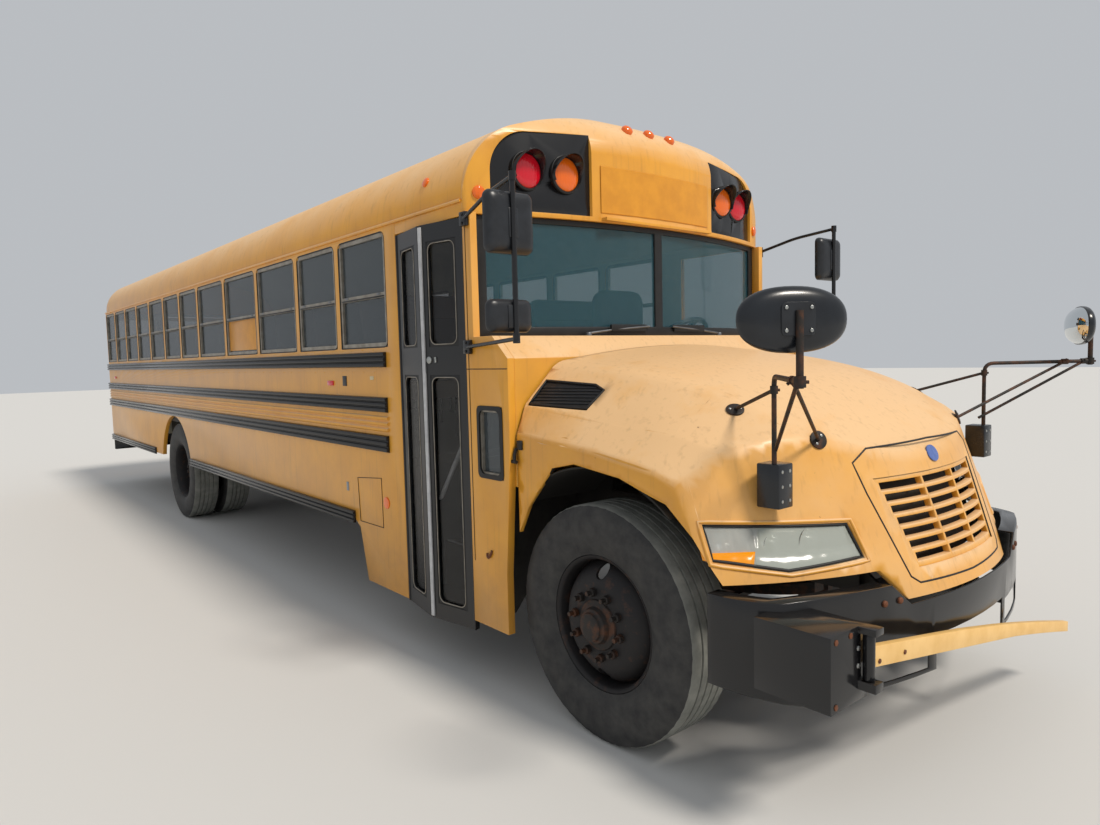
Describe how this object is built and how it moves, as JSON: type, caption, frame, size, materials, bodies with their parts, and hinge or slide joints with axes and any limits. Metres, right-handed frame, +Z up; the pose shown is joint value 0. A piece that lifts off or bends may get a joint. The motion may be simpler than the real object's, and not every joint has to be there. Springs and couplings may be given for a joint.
{
  "type": "school bus",
  "caption": "Conventional school bus with a tilting hood, hinged entrance leaves, a rear emergency door, a stop arm and a front crossing gate.",
  "frame": {"origin": "on the ground, under the middle of the bus's length and width", "axes": "+X forward, +Y left, +Z up"},
  "size_m": [11.647, 2.9838, 3.03],
  "materials": {
    "yellow_paint": "satin",
    "roof_white": "satin",
    "black_paint": "satin",
    "frame_black": "matte",
    "cast_iron": "rough",
    "aluminium": "brushed",
    "steel": "brushed",
    "glass": "clear",
    "lens": "gloss",
    "lamp_lens": "gloss",
    "seat_vinyl": "satin",
    "floor_rubber": "matte",
    "dash_plastic": "matte",
    "tyre": "matte",
    "sign_red": "gloss"
  },
  "bodies": {
    "bus": {"frame_rails": "frame_black", "engine_block": "cast_iron", "radiator": "aluminium", "front_axle": "cast_iron", "rear_axle": "cast_iron", "drive_shaft_and_exhaust": "steel", "fuel_tank": "frame_black", "floor": "floor_rubber", "driver_floor": "floor_rubber", "stepwell": "floor_rubber", "side_wall_right": "yellow_paint", "side_wall_left": "yellow_paint", "door_header": "yellow_paint", "roof": "yellow_paint", "front_cap": "yellow_paint", "flasher_panels": "black_paint", "windshield_frame": "black_paint", "windshield_glass": "glass", "cowl": "yellow_paint", "cowl_sides": "yellow_paint", "rear_wall": "yellow_paint", "rear_glass": "glass", "rear_bumper": "black_paint", "rub_rails": "black_paint", "window_frames_right": "black_paint", "window_frames_left": "black_paint", "side_glass_right": "glass", "side_glass_left": "glass", "seats_right": "seat_vinyl", "seats_left": "seat_vinyl", "driver_seat": "seat_vinyl", "dashboard": "dash_plastic", "front_bumper": "black_paint", "crossing_gate_box": "black_paint", "stop_sign_box": "black_paint", "door_mirror_right": "black_paint", "door_mirror_left": "black_paint", "wipers": "black_paint", "lamps": "lamp_lens"},
    "hood": {"hood_shell": "yellow_paint", "grille": "yellow_paint", "headlights": "lens", "hood_vents": "black_paint", "hood_mirror_right": "black_paint", "hood_mirror_left": "black_paint"},
    "knuckle_right": {"knuckle_right": "cast_iron"},
    "knuckle_left": {"knuckle_left": "cast_iron"},
    "front_wheel_right": {"front_wheel_right": "tyre"},
    "front_wheel_left": {"front_wheel_left": "tyre"},
    "rear_wheels_right": {"rear_wheels_right": "tyre"},
    "rear_wheels_left": {"rear_wheels_left": "tyre"},
    "door_leaf_front": {"door_leaf_front": "black_paint", "door_glass_front": "glass"},
    "door_leaf_rear": {"door_leaf_rear": "black_paint", "door_glass_rear": "glass"},
    "rear_door": {"rear_door": "yellow_paint", "rear_door_glass": "glass"},
    "stop_arm": {"stop_arm": "sign_red"},
    "crossing_arm": {"crossing_arm": "yellow_paint"}
  },
  "joints": [
    {"name": "hood_tilt", "type": "hinge", "parent": "bus", "child": "hood", "pos_m": [5.7015, 0, 0.56], "axis": [0, 1, 0], "range_deg": [0, 55]},
    {"name": "steer_right", "type": "hinge", "parent": "bus", "child": "knuckle_right", "pos_m": [4.6515, -0.902, 0.525], "axis": [0, 0, 1], "range_deg": [-40, 40]},
    {"name": "steer_left", "type": "hinge", "parent": "bus", "child": "knuckle_left", "pos_m": [4.6515, 0.902, 0.525], "axis": [0, 0, 1], "range_deg": [-40, 40]},
    {"name": "front_wheel_right_spin", "type": "hinge", "parent": "knuckle_right", "child": "front_wheel_right", "pos_m": [4.6515, -1.028, 0.525], "axis": [0, 1, 0], "continuous": true},
    {"name": "front_wheel_left_spin", "type": "hinge", "parent": "knuckle_left", "child": "front_wheel_left", "pos_m": [4.6515, 1.028, 0.525], "axis": [0, 1, 0], "continuous": true},
    {"name": "rear_wheels_right_spin", "type": "hinge", "parent": "bus", "child": "rear_wheels_right", "pos_m": [-2.1185, -0.8825, 0.525], "axis": [0, 1, 0], "continuous": true},
    {"name": "rear_wheels_left_spin", "type": "hinge", "parent": "bus", "child": "rear_wheels_left", "pos_m": [-2.1185, 0.8825, 0.525], "axis": [0, 1, 0], "continuous": true},
    {"name": "door_front_swing", "type": "hinge", "parent": "bus", "child": "door_leaf_front", "pos_m": [3.7762, -1.212, 1.3], "axis": [0, 0, 1], "range_deg": [-10, 78]},
    {"name": "door_rear_swing", "type": "hinge", "parent": "bus", "child": "door_leaf_rear", "pos_m": [3.0938, -1.212, 1.3], "axis": [0, 0, -1], "range_deg": [-10, 78]},
    {"name": "rear_door_swing", "type": "hinge", "parent": "bus", "child": "rear_door", "pos_m": [-5.7235, -0.4727, 1.785], "axis": [0, 0, 1], "range_deg": [0, 110]},
    {"name": "stop_arm_swing", "type": "hinge", "parent": "bus", "child": "stop_arm", "pos_m": [3.5215, 1.283, 1.52], "axis": [0, 0, -1], "range_deg": [0, 90]},
    {"name": "crossing_arm_swing", "type": "hinge", "parent": "bus", "child": "crossing_arm", "pos_m": [5.7865, -0.985, 0.67], "axis": [0, 0, -1], "range_deg": [0, 90]}
  ],
  "couplings": [
    {"joint": "steer_left", "follows": "steer_right", "ratio": 1},
    {"joint": "door_rear_swing", "follows": "door_front_swing", "ratio": 1}
  ]
}
